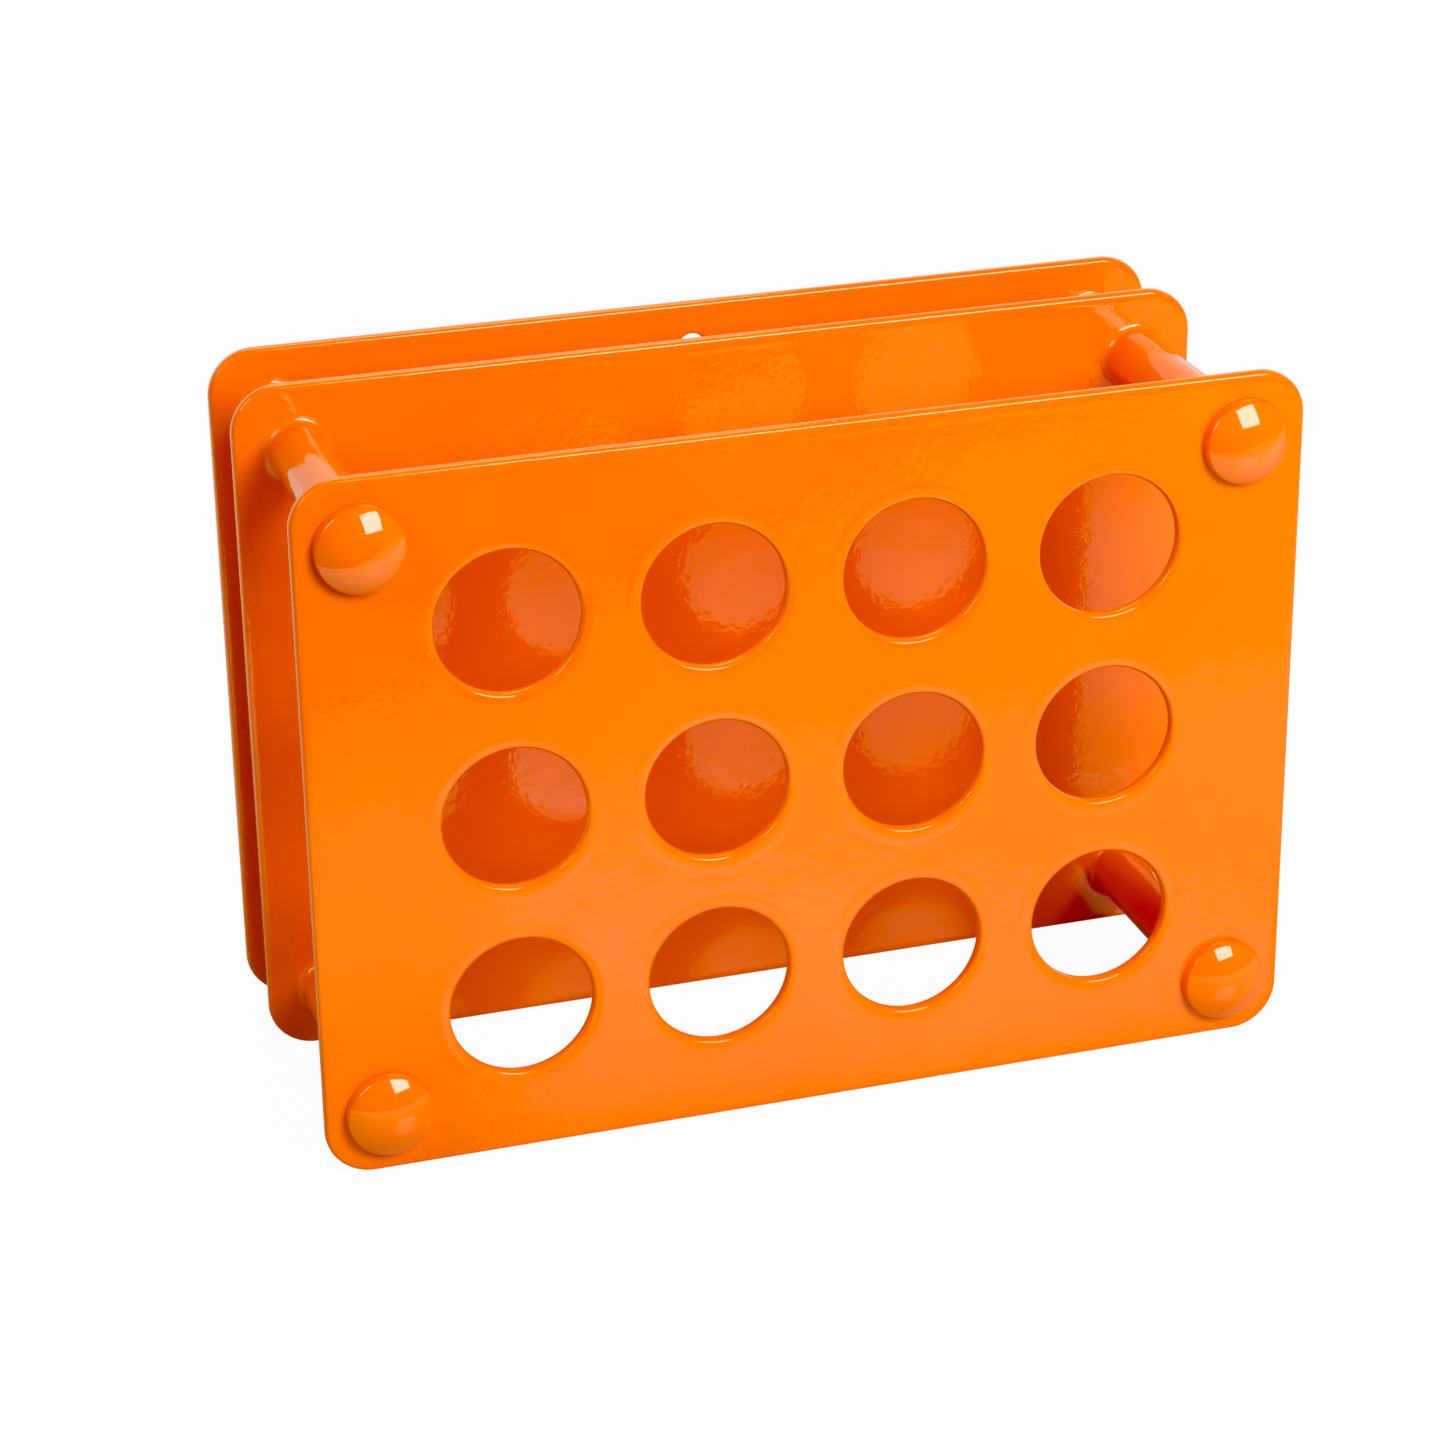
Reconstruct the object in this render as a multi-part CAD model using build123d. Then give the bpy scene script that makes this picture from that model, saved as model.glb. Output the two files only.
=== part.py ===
from build123d import *
import os
from math import hypot

# Test tube holder: three upright painted sheet-metal plates held apart by round spacers and
# clamped together by four dome-headed bolts with square necks. The front plate has twelve round
# holes for the tubes, the middle plate is the stop that the tubes reach, and the back plate has
# one small hanging hole.
#
# Frame: +X to the viewer's right, +Y from the front plate to the back, +Z up. The origin is on
# the surface the holder stands on, midway across its width and its depth. Millimetres.

# Plates
plate_width = 210.0
plate_height = 150.0
plate_thick = 3.0
corner_radius = 10.0
edge_round = 0.8

# The drilled pattern, holes and bolts alike, sits a little below the plates' centre
pattern_drop = 0.5
pattern_z = plate_height / 2 - pattern_drop

# Tube holes in the front plate
hole_radius = 15.0
hole_pitch = 42.0
hole_columns = 4
hole_rows = 3
hole_edge_round = 0.8

# Hanging hole in the back plate
hang_radius = 3.0
hang_from_top = 10.0
hang_edge_round = 0.5

# Gaps between the plates
front_gap = 55.0
rear_gap = 22.0

# Spacers, with ends that flare out where they meet the plates
spacer_radius = 6.0
spacer_bore = 3.3
spacer_flare = 1.5
flare_lip = 0.1

# Dome-headed bolts, one near each corner of the plates
bolt_spread_x = 183.5
bolt_spread_z = 122.6
head_radius = 9.1
head_rim = 1.9
head_rise = 3.3
head_under_round = 0.8
head_shoulder_round = 1.2
neck_side = 6.4
neck_hole_side = 6.6
shank_radius = 3.0
bolt_hole_radius = 3.3
tip_chamfer = 0.6
tip_beyond_nut = 1.5

# Washers and nuts behind the back plate
washer_radius = 6.25
washer_bore = 3.2
washer_thick = 1.6
washer_round = 0.3
nut_flats = 10.0
nut_height = 5.0
nut_bore = 3.05
nut_chamfer_height = 0.6
nut_chamfer_inset = 0.72

# How closely an edge's radius has to match the one that is looked for
radius_match = 1e-4

# Depth of the whole stack, and the front face of each plate
head_height = head_rim + head_rise
stack_depth = 3 * plate_thick + front_gap + rear_gap
rear_hardware = washer_thick + nut_height + tip_beyond_nut
overall_depth = head_height + stack_depth + rear_hardware
front_y = head_height - overall_depth / 2
middle_y = front_y + plate_thick + front_gap
back_y = middle_y + plate_thick + rear_gap
rear_face_y = back_y + plate_thick

# Bolt axes (x, z)
left_x = -bolt_spread_x / 2
right_x = bolt_spread_x / 2
low_z = pattern_z - bolt_spread_z / 2
high_z = pattern_z + bolt_spread_z / 2
corners = {
    "top_left": (left_x, high_z),
    "top_right": (right_x, high_z),
    "bottom_left": (left_x, low_z),
    "bottom_right": (right_x, low_z),
}


def tube_hole_centres():
    """Centres (x, z) of the tube holes, a grid about the middle of the drilled pattern."""
    x0 = -hole_pitch * (hole_columns - 1) / 2
    z0 = pattern_z - hole_pitch * (hole_rows - 1) / 2
    grid = []
    for row in range(hole_rows):
        for column in range(hole_columns):
            grid.append((x0 + column * hole_pitch, z0 + row * hole_pitch))
    return grid


def circles(solid, radius):
    """Every circular edge of one radius."""
    return [e for e in solid.edges().filter_by(GeomType.CIRCLE) if abs(e.radius - radius) < radius_match]


def plate(face_y, cuts):
    """One rounded plate whose front face is at face_y, with the given cut-outs."""
    outline = Pos(0, plate_height / 2) * RectangleRounded(plate_width, plate_height, corner_radius)
    solid = extrude(Plane.XZ.offset(-face_y) * outline, amount=-plate_thick)
    outer = solid.edges().filter_by(Axis.Y, reverse=True)
    solid = fillet(outer, edge_round)
    for cut in cuts:
        solid -= extrude(Plane.XZ.offset(-face_y) * cut, amount=-plate_thick)
    return solid


def bolt_holes(shape):
    """The same cut-out at each of the four bolt axes."""
    return [Pos(x, z) * shape for x, z in corners.values()]


def front_plate():
    tubes = [Pos(x, z) * Circle(hole_radius) for x, z in tube_hole_centres()]
    solid = plate(front_y, tubes + bolt_holes(Rectangle(neck_hole_side, neck_hole_side)))
    return fillet(circles(solid, hole_radius), hole_edge_round)


def middle_plate():
    return plate(middle_y, bolt_holes(Circle(bolt_hole_radius)))


def back_plate():
    hang = Pos(0, plate_height - hang_from_top) * Circle(hang_radius)
    solid = plate(back_y, bolt_holes(Circle(bolt_hole_radius)) + [hang])
    return fillet(circles(solid, hang_radius), hang_edge_round)


def flare_arc(foot_y, inward):
    """The hollow curve of a flared spacer end. inward is +1 or -1, the way into the spacer."""
    centre_x = spacer_radius + spacer_flare
    centre_y = foot_y + inward * (flare_lip + spacer_flare)
    reach = spacer_flare / hypot(1, 1)
    return ThreePointArc(
        (centre_x, centre_y - inward * spacer_flare),
        (centre_x - reach, centre_y - inward * reach),
        (spacer_radius, centre_y),
    )


def spacer(length):
    """A tubular spacer from y = 0 to y = length, flared at both ends."""
    flange = spacer_radius + spacer_flare
    low = flare_arc(0, 1)
    high = flare_arc(length, -1)
    outline = Curve() + [
        Line((spacer_bore, 0), (flange, 0)),
        Line((flange, 0), low @ 0),
        low,
        Line(low @ 1, high @ 1),
        high,
        Line(high @ 0, (flange, length)),
        Line((flange, length), (spacer_bore, length)),
        Line((spacer_bore, length), (spacer_bore, 0)),
    ]
    return revolve(make_face(outline), Axis.Y)


def bolt_head():
    """The domed head, standing forward of y = 0, with a rounded rim and a tucked-under base."""
    dome_radius = (head_radius**2 + head_rise**2) / (2 * head_rise)
    mid_x = head_radius / 2
    mid_y = dome_radius - head_height - (dome_radius**2 - mid_x**2) ** 0.5
    outline = Curve() + [
        Line((0, 0), (head_radius, 0)),
        Line((head_radius, 0), (head_radius, -head_rim)),
        ThreePointArc((head_radius, -head_rim), (mid_x, mid_y), (0, -head_height)),
        Line((0, -head_height), (0, 0)),
    ]
    profile = make_face(outline)
    shoulder = profile.vertices().group_by(Axis.X)[-1].sort_by(Axis.Y)[0]
    profile = fillet(shoulder, head_shoulder_round)
    foot = profile.vertices().group_by(Axis.Y)[-1].sort_by(Axis.X)[-1]
    profile = fillet(foot, head_under_round)
    return revolve(profile, Axis.Y)


def dome_bolt():
    """A bolt with its head's seat at y = 0: domed head, square neck, shank and bevelled tip."""
    shank_length = stack_depth + rear_hardware
    neck = Pos(0, plate_thick / 2, 0) * Box(neck_side, plate_thick, neck_side)
    shank = Pos(0, shank_length / 2, 0) * Rot(90, 0, 0) * Cylinder(shank_radius, shank_length)
    shank = chamfer(shank.edges().sort_by(Axis.Y)[-1], tip_chamfer)
    return bolt_head() + neck + shank


def washer():
    """A flat washer from y = 0 to its thickness, with its rear rim rounded."""
    ring = Rot(-90, 0, 0) * extrude(Circle(washer_radius) - Circle(washer_bore), washer_thick)
    rear_rim = sorted(circles(ring, washer_radius), key=lambda e: e.center().Y)[-1]
    return fillet(rear_rim, washer_round)


def nut():
    """A hexagon nut from y = 0 to its height, with the corners bevelled at both ends."""
    hexagon = RegularPolygon(nut_flats / 2, 6, major_radius=False)
    corner_to_axis = nut_flats / 3**0.5
    body = extrude(hexagon, nut_height)
    envelope = Pos(0, 0, nut_height / 2) * Cylinder(corner_to_axis, nut_height)
    ends = envelope.edges().filter_by(GeomType.CIRCLE)
    envelope = chamfer(ends, nut_chamfer_height, nut_chamfer_inset)
    body = (body & envelope) - Pos(0, 0, nut_height / 2) * Cylinder(nut_bore, nut_height)
    return Rot(-90, 0, 0) * body


def all_pieces():
    """Every piece of the holder by node name."""
    pieces = {"front_plate": front_plate(), "middle_plate": middle_plate(), "back_plate": back_plate()}
    at_corners = {
        "long_spacer": (spacer(front_gap), front_y + plate_thick),
        "short_spacer": (spacer(rear_gap), middle_y + plate_thick),
        "dome_bolt": (dome_bolt(), front_y),
        "washer": (washer(), rear_face_y),
        "nut": (nut(), rear_face_y + washer_thick),
    }
    for kind, (solid, y) in at_corners.items():
        for corner, (x, z) in corners.items():
            pieces[f"{kind}_{corner}"] = Pos(x, y, z) * solid
    return pieces


os.makedirs("parts", exist_ok=True)
for name, solid in all_pieces().items():
    export_step(solid, f"parts/{name}.step")
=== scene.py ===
"""Looks for the test tube holder: glossy sprayed orange enamel over plates, spacers, bolts and nuts."""

from math import atan2, cos, hypot, pi, radians, sin, sqrt

import bmesh
import bpy
from mathutils import Matrix, Vector
from mathutils.geometry import delaunay_2d_cdt


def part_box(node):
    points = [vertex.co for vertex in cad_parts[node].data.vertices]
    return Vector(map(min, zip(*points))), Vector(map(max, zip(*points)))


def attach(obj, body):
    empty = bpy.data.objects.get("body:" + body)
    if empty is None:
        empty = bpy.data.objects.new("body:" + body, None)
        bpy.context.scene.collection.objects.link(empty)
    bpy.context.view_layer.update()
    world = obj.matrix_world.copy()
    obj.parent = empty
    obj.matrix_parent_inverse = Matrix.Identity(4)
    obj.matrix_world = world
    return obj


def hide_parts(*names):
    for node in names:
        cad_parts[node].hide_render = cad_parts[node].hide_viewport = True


MM = 0.001
CORNERS = ("top_left", "top_right", "bottom_left", "bottom_right")

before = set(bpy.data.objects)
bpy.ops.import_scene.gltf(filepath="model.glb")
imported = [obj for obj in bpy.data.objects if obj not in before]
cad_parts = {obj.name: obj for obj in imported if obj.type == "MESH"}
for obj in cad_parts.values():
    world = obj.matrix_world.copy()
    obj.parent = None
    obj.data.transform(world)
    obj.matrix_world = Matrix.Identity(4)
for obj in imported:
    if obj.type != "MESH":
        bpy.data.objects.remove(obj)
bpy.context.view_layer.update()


# ---------------------------------------------------------------- sizes

def node_span(node, axis):
    """Where a CAD node starts and ends along an axis."""
    low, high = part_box(node)
    return low[axis], high[axis]


# The plates, whose outline and sheet come from the frame. The radii and the pattern are the CAD's.
PLATE_LEFT, PLATE_RIGHT = node_span("front_plate", 0)
PLATE_BOTTOM, PLATE_TOP = node_span("front_plate", 2)
FRONT_Y = node_span("front_plate", 1)[0]
PLATE_THICK = node_span("front_plate", 1)[1] - FRONT_Y
PLATE_WIDTH = PLATE_RIGHT - PLATE_LEFT
PLATE_HEIGHT = PLATE_TOP - PLATE_BOTTOM
CORNER_RADIUS = 10 * MM
CORNER_X = PLATE_WIDTH / 2 - CORNER_RADIUS  # the corners' centres, from the plate's centre
CORNER_Z = PLATE_HEIGHT / 2 - CORNER_RADIUS
TUBE_HOLE_RADIUS = 15 * MM
HOLE_PITCH = 42 * MM
HOLE_COLUMNS = 4
HOLE_ROWS = 3
HANG_RADIUS = 3 * MM
HANG_FROM_TOP = 10 * MM
BOLT_HOLE_RADIUS = 3.3 * MM

# Spacers, with ends that flare out to the plates and end in a thin lip
SPACER_RADIUS = 6 * MM
SPACER_BORE = 3.3 * MM
SPACER_FLARE = 1.5 * MM
SPACER_LIP = 0.1 * MM

# Bolts: a dome on a short rim, a square neck, a round shank and a threaded tip
HEAD_RADIUS = 9.1 * MM
HEAD_RIM = 1.9 * MM
HEAD_RISE = 3.3 * MM
HEAD_SHOULDER = 0.9 * MM
HEAD_SHOULDER_SET_IN = 0.185 * MM
HEAD_DRAFT = radians(15)
NECK_HALF = 3.2 * MM
SHANK_RADIUS = 3 * MM
TIP_BEVEL = 0.6 * MM
TIP_BULGE_IN, TIP_BULGE_BACK = 0.55, 0.3  # shares of the bevel, where it bulges
THREAD_LENGTH = 9 * MM
THREAD_PITCH = 1 * MM
THREAD_DEPTH = 0.28 * MM

# Washers and nuts
WASHER_RADIUS = 6.25 * MM
WASHER_BORE = 3.2 * MM
WASHER_EDGE = 0.45 * MM
NUT_HALF_FLATS = 5 * MM
NUT_BORE = 3.05 * MM
NUT_BEVEL_DEPTH = 0.75 * MM
NUT_BEVEL_SLOPE = 1.9
NUT_BEVEL_SOFTNESS = 0.35 * MM
NUT_CORNER_SOFTNESS = 0.1 * MM
NUT_CORNER_OFFSET = 0.02  # share of the corner that keeps the softening close to it
NUT_CORNER_REACH = 0.985  # share of the sharp corner that is left
NUT_FACE_SHARES = (0.7, 0.8, 0.88, 0.94)  # rings on its end faces, as shares of the flats

# Painted edges of the plates
BEAD_HEIGHT = 0.03 * MM
BEAD_WIDTH = 1.5 * MM
BAND_TILT = radians(8)
BEAD_STEPS, BAND_STEPS, EDGE_STEPS = 8, 5, 24
WALL_FULLNESS = 3.1  # how much slacker the round is on the wall than at the face
EDGE_BAND, EDGE_RADIUS = 1.3 * MM, 0.75 * MM
HOLE_BAND, HOLE_EDGE_RADIUS = 1.5 * MM, 0.75 * MM
HANG_BAND, HANG_EDGE_RADIUS = 0.5 * MM, 0.5 * MM
FILL_SPACING = 6 * MM  # between the inner points of a plate's face
CLEAR_OF_CORNER = 4 * MM  # kept free of inner points along a plate's outline

# Steps round each outline
CORNER_STEPS, SIDE_STEPS = 28, 24
TUBE_HOLE_STEPS, HANG_STEPS, BOLT_HOLE_STEPS = 128, 64, 32
SPACER_STEPS, BOLT_STEPS, WASHER_STEPS, NUT_STEPS = 96, 128, 96, 192

TINY = 1e-7  # below any size of the object, in metres


def axis_of(node):
    """Where a turned piece's axis crosses the XZ plane."""
    low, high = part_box(node)
    centre = (low + high) / 2
    return centre.x, centre.z


# ---------------------------------------------------------------- mesh helpers

def new_piece(name, vertices, faces):
    """A smooth-shaded mesh whose faces all turn outwards."""
    mesh = bpy.data.meshes.new(name)
    mesh.from_pydata(vertices, [], faces)
    mesh.validate()
    mesh.update()
    shape = bmesh.new()
    shape.from_mesh(mesh)
    bmesh.ops.recalc_face_normals(shape, faces=shape.faces)
    shape.to_mesh(mesh)
    shape.free()
    mesh.shade_smooth()
    piece = bpy.data.objects.new(name, mesh)
    bpy.context.scene.collection.objects.link(piece)
    return piece


def edge_round(radius):
    """The painted round between a face and a wall, from the face: points (inset from the wall,
    depth, turn). It starts tight at the face and slackens into a full, slightly domed wall."""
    points = [(0.0, 0.0, BAND_TILT)]
    fine = 12  # small steps between two points
    step = (pi / 2 - BAND_TILT) / (EDGE_STEPS * fine)
    inset = depth = 0.0
    for i in range(EDGE_STEPS * fine):
        turn = BAND_TILT + (i + 0.5) * step
        share = max(0.0, (turn - pi / 4) / (pi / 4))
        bend = radius * (1 + (WALL_FULLNESS - 1) * share * share * (3 - 2 * share))
        inset -= bend * cos(turn) * step
        depth += bend * sin(turn) * step
        if (i + 1) % fine == 0:
            points.append((inset, depth, BAND_TILT + (i + 1) * step))
    return [(x - inset, y, turn) for x, y, turn in points]


def painted_edge(band, radius):
    """Half of a painted edge's profile, from the flat face to the wall, as points (inset, depth,
    inset part and depth part of the normal): a slight ridge of paint, a band that leans gently
    towards the edge, and the edge's own round."""
    points = []
    bend = edge_round(radius)
    run = band + bend[0][0]
    for i in range(BEAD_STEPS):
        share = i / BEAD_STEPS
        height = BEAD_HEIGHT * (0.5 - 0.5 * cos(pi * share))
        slope = BEAD_HEIGHT * 0.5 * pi / BEAD_WIDTH * sin(pi * share)
        points.append((run + BEAD_WIDTH * (1 - share), -height, -slope, 1.0))
    lean = band / sin(BAND_TILT)
    for i in range(BAND_STEPS):
        turn = BAND_TILT * i / BAND_STEPS
        inset, depth = run - lean * sin(turn), lean * (1 - cos(turn)) - BEAD_HEIGHT
        points.append((inset, depth, sin(turn), cos(turn)))
    foot = lean * (1 - cos(BAND_TILT)) - BEAD_HEIGHT
    for inset, depth, turn in bend:
        points.append((inset, foot + depth, sin(turn), cos(turn)))
    return points


def rim_stations(band, radius):
    """Stations from the front face round a rim to the back face: (inset, y from the front face,
    outward part of the normal, y part of the normal)."""
    if radius == 0:  # a plain hole, hidden under a bolt's head or a washer
        return [(0.0, 0.0, 0.0, -1.0), (0.0, PLATE_THICK, 0.0, 1.0)]
    front = [(inset, d, out, -face) for inset, d, out, face in painted_edge(band, radius)]
    back = [(inset, PLATE_THICK - y, out, -face) for inset, y, out, face in reversed(front)]
    return front + back


def rim_reach(band, radius):
    """How far from the wall a painted edge reaches into the face."""
    return band + edge_round(radius)[0][0] + BEAD_WIDTH


def plate_outline(inset):
    """Points and outward directions round the plate's outline, moved in by inset."""
    ring = []
    radius = CORNER_RADIUS - inset
    centres = ((CORNER_X, CORNER_Z), (-CORNER_X, CORNER_Z), (-CORNER_X, -CORNER_Z), (CORNER_X, -CORNER_Z))
    for k, (cx, cz) in enumerate(centres):
        for i in range(CORNER_STEPS + 1):
            turn = pi / 2 * (k + i / CORNER_STEPS)
            ring.append((cx + radius * cos(turn), cz + radius * sin(turn), cos(turn), sin(turn)))
        nx, nz = centres[(k + 1) % 4]
        end = pi / 2 * (k + 1)
        start_x, start_z = cx + radius * cos(end), cz + radius * sin(end)
        end_x, end_z = nx + radius * cos(end), nz + radius * sin(end)
        for i in range(1, SIDE_STEPS):
            share = i / SIDE_STEPS
            x = start_x + (end_x - start_x) * share
            z = start_z + (end_z - start_z) * share
            ring.append((x, z, cos(end), sin(end)))
    middle = PLATE_BOTTOM + PLATE_HEIGHT / 2
    return [(x, z + middle, nx, nz) for x, z, nx, nz in ring]


def circle_ring(cx, cz, radius, steps):
    """Points round a hole and the directions from them towards its middle."""
    ring = []
    for i in range(steps):
        turn = -2 * pi * i / steps
        ring.append((cx + radius * cos(turn), cz + radius * sin(turn), -cos(turn), -sin(turn)))
    return ring


def square_ring(cx, cz, side):
    """Points at the corners of a square hole and the directions from them towards its middle."""
    ring = []
    for sx, sz in ((1, 1), (1, -1), (-1, -1), (-1, 1)):
        ring.append((cx + sx * side / 2, cz + sz * side / 2, -sx * sqrt(0.5), -sz * sqrt(0.5)))
    return ring


def fill_face(loops, holes, spacing):
    """Triangles that fill a flat face between its outer loop and its holes, as index triples into
    the loops' points followed by a grid of inner points."""
    points = [Vector((x, z)) for loop in loops for x, z, _, _ in loop]
    edges = []
    first = 0
    for loop in loops:
        edges += [(first + i, first + (i + 1) % len(loop)) for i in range(len(loop))]
        first += len(loop)
    margin = spacing * 0.6  # kept free of inner points round each opening
    x = PLATE_LEFT + spacing
    inner = []
    while x < PLATE_RIGHT - spacing * 0.5:
        z = PLATE_BOTTOM + spacing
        while z < PLATE_TOP - spacing * 0.5:
            dx = max(0.0, abs(x) - CORNER_X)
            dz = max(0.0, abs(z - PLATE_BOTTOM - PLATE_HEIGHT / 2) - CORNER_Z)
            clear = hypot(dx, dz) < CORNER_RADIUS - CLEAR_OF_CORNER - margin * 0.5
            if clear and all(hypot(x - cx, z - cz) > r + margin for cx, cz, r in holes):
                inner.append(Vector((x, z)))
            z += spacing
        x += spacing
    result = delaunay_2d_cdt(points + inner, edges, [], 0, 1e-9)
    out_points, out_faces = result[0], result[2]
    triangles = []
    inside = 0.999  # a triangle whose centre is nearer in than this share of a reach is in an opening
    for face in out_faces:
        centre = sum((out_points[i] for i in face), Vector((0, 0))) / 3
        if all(hypot(centre.x - cx, centre.y - cz) > r * inside for cx, cz, r in holes):
            triangles.append(tuple(face))
    return out_points, triangles


def plate_piece(name, node, openings):
    """A plate with painted edges. openings are (ring maker, centre, reach, band, edge radius)."""
    face_y = node_span(node, 1)[0]
    vertices, normals, faces = [], [], []
    front_loops, back_loops = [], []
    makers = [(plate_outline, EDGE_BAND, EDGE_RADIUS)]
    makers += [(maker, band, radius) for maker, _, _, band, radius in openings]
    starts = []
    for maker, band, radius in makers:
        stations = rim_stations(band, radius)
        first = len(vertices)
        rings = [maker(inset) for inset, _, _, _ in stations]
        count = len(rings[0])
        for ring, (_, y, out, face) in zip(rings, stations):
            for x, z, nx, nz in ring:
                vertices.append((x, face_y + y, z))
                normals.append(Vector((nx * out, face, nz * out)).normalized())
        for k in range(len(stations) - 1):
            a, b = first + k * count, first + (k + 1) * count
            for i in range(count):
                j = (i + 1) % count
                faces.append((a + i, a + j, b + j, b + i))
        starts.append((first, count, len(stations)))
        front_loops.append(rings[0])
        back_loops.append(rings[-1])
    holes = [(cx, cz, reach) for _, (cx, cz), reach, _, _ in openings]
    # each face's fill starts with its loops' points, which the rims have made, then the inner ones
    for loops, y, side in ((front_loops, face_y, -1), (back_loops, face_y + PLATE_THICK, 1)):
        points, triangles = fill_face(loops, holes, FILL_SPACING)
        index = []
        for first, count, station_count in starts:
            start = first if side < 0 else first + (station_count - 1) * count
            index += range(start, start + count)
        for point in points[len(index):]:
            index.append(len(vertices))
            vertices.append((point.x, y, point.y))
            normals.append(Vector((0, side, 0)))
        for tri in triangles:
            tri = tuple(index[i] for i in tri)
            faces.append(tri if side > 0 else tri[::-1])
    piece = new_piece(name, vertices, faces)
    piece.data.normals_split_custom_set_from_vertices(normals)
    return piece


def turned_piece(name, centre, stations, steps, radius_at=None):
    """A turned piece about an axis along Y. stations are (radius, y); radius_at can vary the
    radius round the axis, as for a thread or a square."""
    cx, cz = centre
    vertices, faces, rings = [], [], []
    for radius, y in stations:
        if radius < TINY:
            rings.append([len(vertices)])
            vertices.append((cx, y, cz))
            continue
        ring = []
        for i in range(steps):
            turn = 2 * pi * i / steps
            r = radius_at(radius, y, turn) if radius_at else radius
            ring.append(len(vertices))
            vertices.append((cx + r * cos(turn), y, cz + r * sin(turn)))
        rings.append(ring)
    pairs = list(zip(rings, rings[1:]))
    if len(rings[0]) > 1:
        pairs.append((rings[-1], rings[0]))  # a bored piece: its last ring meets its first
    for a, b in pairs:
        for i in range(steps):
            j = (i + 1) % steps
            if len(a) == 1:
                faces.append((a[0], b[j], b[i]))
            elif len(b) == 1:
                faces.append((a[i], a[j], b[0]))
            else:
                faces.append((a[i], a[j], b[j], b[i]))
    return new_piece(name, vertices, faces)


def arc(cx, cy, radius, start, end, steps):
    """Points (x, y) along an arc, angles in degrees."""
    points = []
    for i in range(steps + 1):
        turn = radians(start + (end - start) * i / steps)
        points.append((cx + radius * cos(turn), cy + radius * sin(turn)))
    return points


# ---------------------------------------------------------------- pieces

def tube_openings():
    """The twelve tube holes, in a grid midway between the upper and the lower bolts."""
    centre_z = (axis_of("dome_bolt_top_left")[1] + axis_of("dome_bolt_bottom_left")[1]) / 2
    found = []
    for row in range(HOLE_ROWS):
        for column in range(HOLE_COLUMNS):
            cx = (column - (HOLE_COLUMNS - 1) / 2) * HOLE_PITCH
            cz = centre_z + (row - (HOLE_ROWS - 1) / 2) * HOLE_PITCH
            maker = lambda inset, x=cx, z=cz: circle_ring(x, z, TUBE_HOLE_RADIUS + inset, TUBE_HOLE_STEPS)
            reach = TUBE_HOLE_RADIUS + rim_reach(HOLE_BAND, HOLE_EDGE_RADIUS)
            found.append((maker, (cx, cz), reach, HOLE_BAND, HOLE_EDGE_RADIUS))
    return found


def bolt_openings(square):
    """The four bolt holes: square ones take the bolts' necks."""
    found = []
    for corner in CORNERS:
        cx, cz = axis_of(f"dome_bolt_{corner}")
        if square:
            maker = lambda inset, x=cx, z=cz: square_ring(x, z, 2 * BOLT_HOLE_RADIUS)
        else:
            maker = lambda inset, x=cx, z=cz: circle_ring(x, z, BOLT_HOLE_RADIUS, BOLT_HOLE_STEPS)
        found.append((maker, (cx, cz), BOLT_HOLE_RADIUS, 0, 0))
    return found


def hanging_opening():
    """The small hole at the top of the back plate."""
    cz = PLATE_TOP - HANG_FROM_TOP
    maker = lambda inset: circle_ring(0, cz, HANG_RADIUS + inset, HANG_STEPS)
    reach = HANG_RADIUS + rim_reach(HANG_BAND, HANG_EDGE_RADIUS)
    return [(maker, (0, cz), reach, HANG_BAND, HANG_EDGE_RADIUS)]


def make_plates():
    sets = {
        "front_plate": tube_openings() + bolt_openings(True),
        "middle_plate": bolt_openings(False),
        "back_plate": bolt_openings(False) + hanging_opening(),
    }
    for node, openings in sets.items():
        dress(plate_piece(f"{node}_painted", node, openings), "plate_paint", node)


def make_spacer(node):
    low, high = node_span(node, 1)
    wide = SPACER_RADIUS + SPACER_FLARE
    y0, y1 = low + SPACER_LIP + SPACER_FLARE, high - SPACER_LIP - SPACER_FLARE
    body_steps, flare_steps = 10, 16
    stations = [(SPACER_BORE, low), (wide, low)]
    stations += arc(wide, y0, SPACER_FLARE, 270, 180, flare_steps)
    stations += [(SPACER_RADIUS, y0 + (y1 - y0) * i / body_steps) for i in range(1, body_steps)]
    stations += arc(wide, y1, SPACER_FLARE, 180, 90, flare_steps)
    stations += [(wide, high), (SPACER_BORE, high)]
    spacer = turned_piece(f"{node}_painted", axis_of(node), stations, SPACER_STEPS)
    dress(spacer, "spacer_paint", node)


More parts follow.
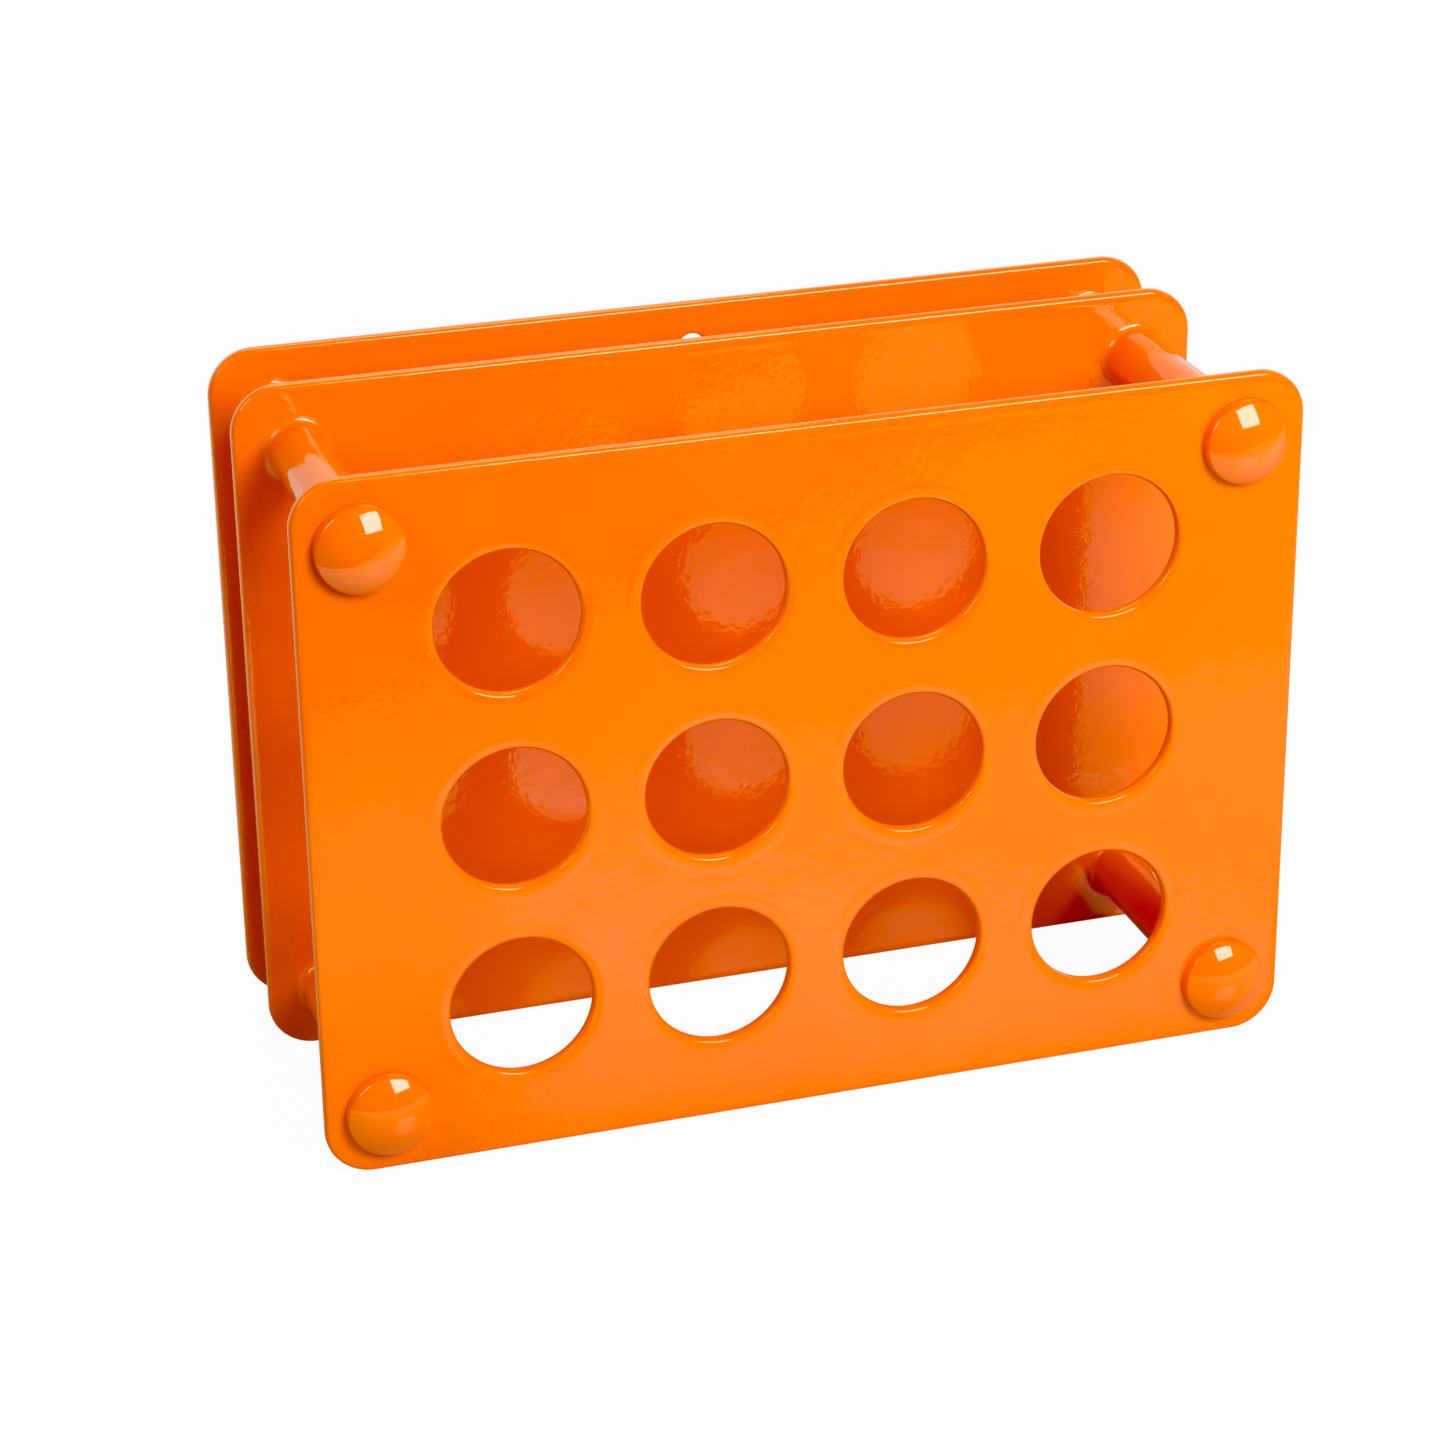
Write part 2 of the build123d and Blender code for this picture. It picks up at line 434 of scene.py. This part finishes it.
def dome_stations(seat_y):
    """The bolt head's outline from its crown to its seat: a shallow dome, a rounded shoulder and
    a short rim that leans in a little, as enamel fills the angle under it."""
    crown_steps, shoulder_steps, rim_steps = 40, 14, 4
    dome = (HEAD_RADIUS**2 + HEAD_RISE**2) / (2 * HEAD_RISE)
    dome_centre = seat_y - HEAD_RIM - HEAD_RISE + dome
    # the shoulder's arc touches the dome from inside and ends where the leaning rim starts
    sx = HEAD_RADIUS - HEAD_SHOULDER - HEAD_SHOULDER_SET_IN
    sy = dome_centre - sqrt((dome - HEAD_SHOULDER) ** 2 - sx**2)
    touch = atan2(sx, dome_centre - sy)
    points = []
    for i in range(crown_steps + 1):
        turn = touch * i / crown_steps
        points.append((dome * sin(turn), dome_centre - dome * cos(turn)))
    last = pi / 2 - HEAD_DRAFT
    for i in range(1, shoulder_steps + 1):
        turn = touch + (last - touch) * i / shoulder_steps
        points.append((sx + HEAD_SHOULDER * sin(turn), sy - HEAD_SHOULDER * cos(turn)))
    x, y = points[-1]
    for i in range(1, rim_steps + 1):
        share = i / rim_steps
        points.append((x + (HEAD_RADIUS - x) * share, y + (seat_y - y) * share))
    return points


def make_bolt(node):
    seat_y = FRONT_Y
    neck_end = seat_y + PLATE_THICK
    tip_y = node_span(node, 1)[1]
    bevel_y = tip_y - TIP_BEVEL
    thread_start = tip_y - THREAD_LENGTH
    thread_steps = 90
    slack = 1e-6  # well below a station's spacing

    stations = dome_stations(seat_y)
    stations += [(NECK_HALF, seat_y), (NECK_HALF, neck_end), (SHANK_RADIUS, neck_end)]
    for i in range(thread_steps + 1):
        stations.append((SHANK_RADIUS, thread_start + (bevel_y - thread_start) * i / thread_steps))
    stations.append((SHANK_RADIUS - TIP_BEVEL * TIP_BULGE_IN, tip_y - TIP_BEVEL * TIP_BULGE_BACK))
    stations += [(SHANK_RADIUS - TIP_BEVEL, tip_y), (SHANK_RADIUS * 0.5, tip_y), (0.0, tip_y)]

    def radius_at(radius, y, turn):
        """Square on the neck and wavy along the thread."""
        if seat_y - slack < y < neck_end + slack and abs(radius - NECK_HALF) < TINY:
            return NECK_HALF / max(abs(cos(turn)), abs(sin(turn)))
        if thread_start < y <= bevel_y + slack:
            turns_along = (y - thread_start) / THREAD_PITCH
            wave = 0.5 - 0.5 * cos(2 * pi * (turns_along - turn / (2 * pi)))
            return radius - THREAD_DEPTH * wave * min(1.0, turns_along)
        return radius

    bolt = turned_piece(f"{node}_painted", axis_of(node), stations, BOLT_STEPS, radius_at)
    dress(bolt, "bolt_paint", node)


def make_washer(node):
    low, high = node_span(node, 1)
    stations = [(WASHER_BORE, low), (WASHER_RADIUS, low)]
    stations += arc(WASHER_RADIUS - WASHER_EDGE, high - WASHER_EDGE, WASHER_EDGE, 0, 90, 10)
    stations += [(WASHER_BORE, high)]
    washer = turned_piece(f"{node}_painted", axis_of(node), stations, WASHER_STEPS)
    dress(washer, "nut_paint", node)


def soft_min(a, b, softness):
    """The smaller of two values, blended where they are close."""
    blend = max(0.0, min(1.0, 0.5 + (b - a) / (2 * softness)))
    return b + (a - b) * blend - softness * blend * (1 - blend)


def make_nut(node):
    """A hexagon nut whose corners and edges are softened by paint."""
    low, high = node_span(node, 1)
    flat = NUT_HALF_FLATS
    corner = flat / cos(pi / 6)
    steps_up = 26

    def radius_at(radius, y, turn):
        """Six-sided, with the corners cut back by a bevel at both ends."""
        if radius <= NUT_BORE + TINY:
            return NUT_BORE
        local = (turn + pi / 6) % (pi / 3) - pi / 6
        side = flat / cos(local)
        next_side = flat / cos(pi / 6 - abs(local))
        if next_side < side:
            side = soft_min(side, next_side + corner * NUT_CORNER_OFFSET, NUT_CORNER_SOFTNESS)
        bevel = corner - NUT_BEVEL_DEPTH + min(y - low, high - y) * NUT_BEVEL_SLOPE
        wall = soft_min(min(side, corner * NUT_CORNER_REACH), bevel, NUT_BEVEL_SOFTNESS)
        return wall * radius / flat

    stations = [(NUT_BORE, low)]
    stations += [(flat * share, low) for share in NUT_FACE_SHARES]
    stations += [(flat, low + (high - low) * i / steps_up) for i in range(steps_up + 1)]
    stations += [(flat * share, high) for share in reversed(NUT_FACE_SHARES)]
    stations += [(NUT_BORE, high)]
    nut = turned_piece(f"{node}_painted", axis_of(node), stations, NUT_STEPS, radius_at)
    dress(nut, "nut_paint", node)


# ---------------------------------------------------------------- enamel

def enamel(name, peel_size, peel_height, seed, skin=1.0):
    """Glossy sprayed orange enamel: a saturated base whose colour and roughness drift slowly, under
    a clear wet-looking skin with orange peel. skin is the clear skin's strength."""
    material = bpy.data.materials.new(name)
    material.use_nodes = True
    nodes, links = material.node_tree.nodes, material.node_tree.links
    shader = nodes["Principled BSDF"]
    place = nodes.new("ShaderNodeTexCoord")
    move = nodes.new("ShaderNodeMapping")
    # each seed takes the noise from another place
    move.inputs["Location"].default_value = (seed * 0.37, seed * 0.11, seed * 0.23)
    links.new(place.outputs["Object"], move.inputs["Vector"])

    def noise(scale, detail, rough):
        """Smooth noise, scale being its features in a metre."""
        texture = nodes.new("ShaderNodeTexNoise")
        texture.inputs["Scale"].default_value = scale
        texture.inputs["Detail"].default_value = detail
        texture.inputs["Roughness"].default_value = rough
        links.new(move.outputs["Vector"], texture.inputs["Vector"])
        return texture.outputs["Fac"]

    def remap(value, low, high, to_low, to_high):
        """A value spread from one range to another."""
        spread = nodes.new("ShaderNodeMapRange")
        spread.inputs["From Min"].default_value = low
        spread.inputs["From Max"].default_value = high
        spread.inputs["To Min"].default_value = to_low
        spread.inputs["To Max"].default_value = to_high
        links.new(value, spread.inputs["Value"])
        return spread.outputs["Result"]

    drift = nodes.new("ShaderNodeMix")
    drift.data_type = "RGBA"
    drift.inputs["A"].default_value = (0.92, 0.163, 0.0008, 1)
    drift.inputs["B"].default_value = (0.94, 0.177, 0.0012, 1)
    blotches = remap(noise(scale=22, detail=3, rough=0.5), 0.35, 0.65, 0, 1)
    links.new(blotches, drift.inputs["Factor"])
    links.new(drift.outputs["Result"], shader.inputs["Base Color"])
    dullness = remap(noise(scale=60, detail=4, rough=0.6), 0.3, 0.7, 0.30, 0.40)
    links.new(dullness, shader.inputs["Roughness"])

    height = nodes.new("ShaderNodeMath")
    height.operation = "ADD"
    links.new(noise(1 / peel_size, detail=2, rough=0.45), height.inputs[0])
    waves = remap(noise(0.22 / peel_size, detail=1, rough=0.4), 0, 1, 0, 1.6)
    links.new(waves, height.inputs[1])
    peel = nodes.new("ShaderNodeBump")
    peel.inputs["Strength"].default_value = 1.0
    peel.inputs["Distance"].default_value = peel_height
    links.new(height.outputs["Value"], peel.inputs["Height"])
    links.new(peel.outputs["Normal"], shader.inputs["Normal"])
    links.new(peel.outputs["Normal"], shader.inputs["Coat Normal"])
    shader.inputs["IOR"].default_value = 1.45
    shader.inputs["Specular IOR Level"].default_value = 0.05
    shader.inputs["Coat Weight"].default_value = skin
    shader.inputs["Coat Roughness"].default_value = 0.012
    shader.inputs["Coat IOR"].default_value = 1.5
    return material


ENAMELS = {
    "front_plate": enamel("front_enamel", 1.5 * MM, 0.040 * MM, 1, 0.78),
    "plate_paint": enamel("plate_enamel", 1.5 * MM, 0.036 * MM, 1),
    "spacer_paint": enamel("spacer_enamel", 2.6 * MM, 0.03 * MM, 2),
    "bolt_paint": enamel("bolt_enamel", 3.0 * MM, 0.008 * MM, 3),
    "nut_paint": enamel("nut_enamel", 1.6 * MM, 0.02 * MM, 4),
}


def dress(piece, slot, node):
    """Paint a piece and put it in its CAD node's place. A node's own enamel comes before its slot's."""
    piece.data.materials.append(ENAMELS[node] if node in ENAMELS else ENAMELS[slot])
    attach(piece, "root")
    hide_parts(node)


# ---------------------------------------------------------------- stage, light and camera

def smooth_ramp(tree, value, start, end, low, high):
    """A value that goes smoothly from low to high as another goes from start to end."""
    node = tree.nodes.new("ShaderNodeMapRange")
    node.interpolation_type = "SMOOTHSTEP"
    node.inputs["From Min"].default_value = start
    node.inputs["From Max"].default_value = end
    node.inputs["To Min"].default_value = low
    node.inputs["To Max"].default_value = high
    tree.links.new(value, node.inputs["Value"])
    return node.outputs["Result"]


def combine(tree, operation, a, b):
    """Two values added, multiplied or compared."""
    node = tree.nodes.new("ShaderNodeMath")
    node.operation = operation
    tree.links.new(a, node.inputs[0])
    tree.links.new(b, node.inputs[1])
    return node.outputs["Value"]


def coordinates(tree, kind):
    """The X, Y and Z outputs of a texture coordinate."""
    place = tree.nodes.new("ShaderNodeTexCoord")
    split = tree.nodes.new("ShaderNodeSeparateXYZ")
    tree.links.new(place.outputs[kind], split.inputs["Vector"])
    return split.outputs


def white_glow(tree):
    """A white emission shader."""
    node = tree.nodes.new("ShaderNodeEmission")
    node.inputs["Color"].default_value = (1, 1, 1, 1)
    return node


def mix_shaders(tree, share, first, second):
    """A blend from the first shader to the second as share goes from 0 to 1."""
    node = tree.nodes.new("ShaderNodeMixShader")
    tree.links.new(share, node.inputs["Fac"])
    tree.links.new(first, node.inputs[1])
    tree.links.new(second, node.inputs[2])
    return node.outputs["Shader"]


def floor_painted_light(tree):
    """How brightly the floor glows in the paint's reflections, a painted pool of light and painted
    shade: brightest a hand's breadth in front of the holder, and dark under it except along its left."""
    place = coordinates(tree, "Object")

    def ahead(start, end, low, high):
        """A value that changes with the distance in front of the holder."""
        return smooth_ramp(tree, place["Y"], FRONT_Y - end, FRONT_Y - start, high, low)

    near = combine(tree, "MULTIPLY", ahead(0.02, 0.09, 0.0, 0.52), ahead(0.155, 0.22, 1.0, 0.0))
    in_front = combine(tree, "ADD", near, ahead(0.18, 0.26, 0.45, 0.38))
    in_front = combine(tree, "MULTIPLY", ahead(0.0, 0.02, 0.0, 1.0), in_front)
    on_left = smooth_ramp(tree, place["X"], -0.2, -0.13, 0.5, 0.0)
    return combine(tree, "MAXIMUM", in_front, on_left)


def floor_material():
    """A white floor: evenly lit to the camera, with a painted glow of light and shade in the paint's
    reflections.
    """
    material = bpy.data.materials.new("white_acrylic")
    material.use_nodes = True
    tree = material.node_tree
    shader = tree.nodes["Principled BSDF"]
    shader.inputs["Base Color"].default_value = (0.52, 0.52, 0.52, 1)
    shader.inputs["Roughness"].default_value = 0.08
    shader.inputs["Specular IOR Level"].default_value = 0.24
    path = tree.nodes.new("ShaderNodeLightPath")

    # painted light: a glow that only reflections see, a pool of light in front and painted shade under
    # the holder
    reflected = white_glow(tree)
    tree.links.new(floor_painted_light(tree), reflected.inputs["Strength"])
    glowing = tree.nodes.new("ShaderNodeAddShader")
    tree.links.new(shader.outputs["BSDF"], glowing.inputs[0])
    tree.links.new(reflected.outputs["Emission"], glowing.inputs[1])
    mirrored = mix_shaders(
        tree, path.outputs["Is Glossy Ray"], shader.outputs["BSDF"], glowing.outputs["Shader"]
    )

    # to the camera, mostly an even white with a little of the lit floor
    even = white_glow(tree)
    even.inputs["Strength"].default_value = 1.02
    seen = tree.nodes.new("ShaderNodeMath")
    seen.operation = "MULTIPLY"
    seen.inputs[1].default_value = 0.95
    tree.links.new(path.outputs["Is Camera Ray"], seen.inputs[0])
    surface = mix_shaders(tree, seen.outputs["Value"], mirrored, even.outputs["Emission"])
    tree.links.new(surface, tree.nodes["Material Output"].inputs["Surface"])
    return material


def make_floor():
    """A floor that ends a little in front of the holder, on a line turned to the camera's left."""
    turn = radians(31)
    near, far, side = 0.228, 6.0, 4.0
    along = Vector((sin(turn), cos(turn), 0))
    across = Vector((cos(turn), -sin(turn), 0))
    origin = Vector((0, FRONT_Y, 0))
    corners = [
        origin - along * near - across * side,
        origin - along * near + across * side,
        origin + along * far + across * side,
        origin + along * far - across * side,
    ]
    mesh = bpy.data.meshes.new("studio_floor")
    mesh.from_pydata([tuple(c) for c in corners], [], [(0, 1, 2, 3)])
    mesh.materials.append(floor_material())
    floor = bpy.data.objects.new("studio_floor", mesh)
    bpy.context.scene.collection.objects.link(floor)


def make_world():
    """A white sweep low behind the object, and a dim room round the rest of it. The camera sees
    plain white."""
    world = bpy.data.worlds.new("studio")
    bpy.context.scene.world = world
    world.use_nodes = True
    tree = world.node_tree
    place = coordinates(tree, "Generated")
    behind = smooth_ramp(tree, place["Y"], 0.1, 0.6, 0, 1.0)
    low_down = smooth_ramp(tree, place["Z"], 0.42, 0.75, 1.0, 0.04)
    sweep = combine(tree, "MULTIPLY", behind, low_down)
    side = smooth_ramp(tree, place["X"], 0.3, 0.9, 0.055, 0.24)
    path = tree.nodes.new("ShaderNodeLightPath")
    choose = tree.nodes.new("ShaderNodeMix")
    choose.data_type = "FLOAT"
    tree.links.new(path.outputs["Is Camera Ray"], choose.inputs["Factor"])
    tree.links.new(combine(tree, "ADD", sweep, side), choose.inputs["A"])
    choose.inputs["B"].default_value = 1.01
    tree.links.new(choose.outputs["Result"], tree.nodes["Background"].inputs["Strength"])
    tree.nodes["Background"].inputs["Color"].default_value = (1, 1, 1, 1)


def make_camera():
    """The camera, in front of the holder, above it and to its left, and rolled a little."""
    azimuth, elevation, roll = radians(-17.078), radians(23.735), radians(-0.787)
    distance = 799.1 * MM
    target = Vector((-11.84 * MM, FRONT_Y + 26.25 * MM, PLATE_BOTTOM + 77.20 * MM))
    back = Vector((sin(azimuth) * cos(elevation), -cos(azimuth) * cos(elevation), sin(elevation)))
    level = (-back).cross(Vector((0, 0, 1))).normalized()
    upright = level.cross(-back)
    right = level * cos(roll) + upright * sin(roll)
    up = upright * cos(roll) - level * sin(roll)
    data = bpy.data.cameras.new("camera")
    data.sensor_width = 36
    data.lens = 95.78
    data.clip_start, data.clip_end = 0.05, 50
    camera = bpy.data.objects.new("camera", data)
    bpy.context.scene.collection.objects.link(camera)
    turn = Matrix((right, up, back)).transposed()
    camera.matrix_world = Matrix.Translation(target + back * distance) @ turn.to_4x4()
    bpy.context.scene.camera = camera


def softbox(name, direction, distance, width, height, power, colour=(1, 1, 1)):
    """A rectangular lamp that faces the middle of the holder from a direction."""
    middle = Vector((0, 0, PLATE_HEIGHT / 2))
    away = Vector(direction).normalized() * distance
    data = bpy.data.lights.new(name, "AREA")
    data.shape = "RECTANGLE"
    data.size, data.size_y = width, height
    data.energy = power
    data.color = colour
    lamp = bpy.data.objects.new(name, data)
    bpy.context.scene.collection.objects.link(lamp)
    lamp.location = middle + away
    lamp.rotation_euler = away.to_track_quat("Z", "Y").to_euler()


def make_lights():
    """A key light in front and above, a strip on the left, and a warm one above and behind."""
    softbox("key_softbox", (0.336, -0.773, 0.537), distance=0.85, width=0.43, height=0.44, power=8.1)
    softbox("left_softbox", (-0.82, -0.28, 0.62), distance=0.9, width=0.16, height=0.42, power=2.8)
    softbox(
        "back_softbox", (0.05, 0.55, 0.83), distance=1.2, width=0.6, height=0.3, power=3.6,
        colour=(1.0, 0.95, 0.62)
    )


def set_view():
    """Standard colours, with the darkest green and blue pulled down a little, as in a photograph
    of saturated paint."""
    view = bpy.context.scene.view_settings
    view.view_transform = "Standard"
    view.use_curve_mapping = True
    view.curve_mapping.black_level = (0, 0.026, 0.048)
    view.curve_mapping.update()


make_camera()
make_floor()
make_world()
make_lights()
make_plates()
for corner in CORNERS:
    make_spacer(f"long_spacer_{corner}")
    make_spacer(f"short_spacer_{corner}")
    make_bolt(f"dome_bolt_{corner}")
    make_washer(f"washer_{corner}")
    make_nut(f"nut_{corner}")

set_view()
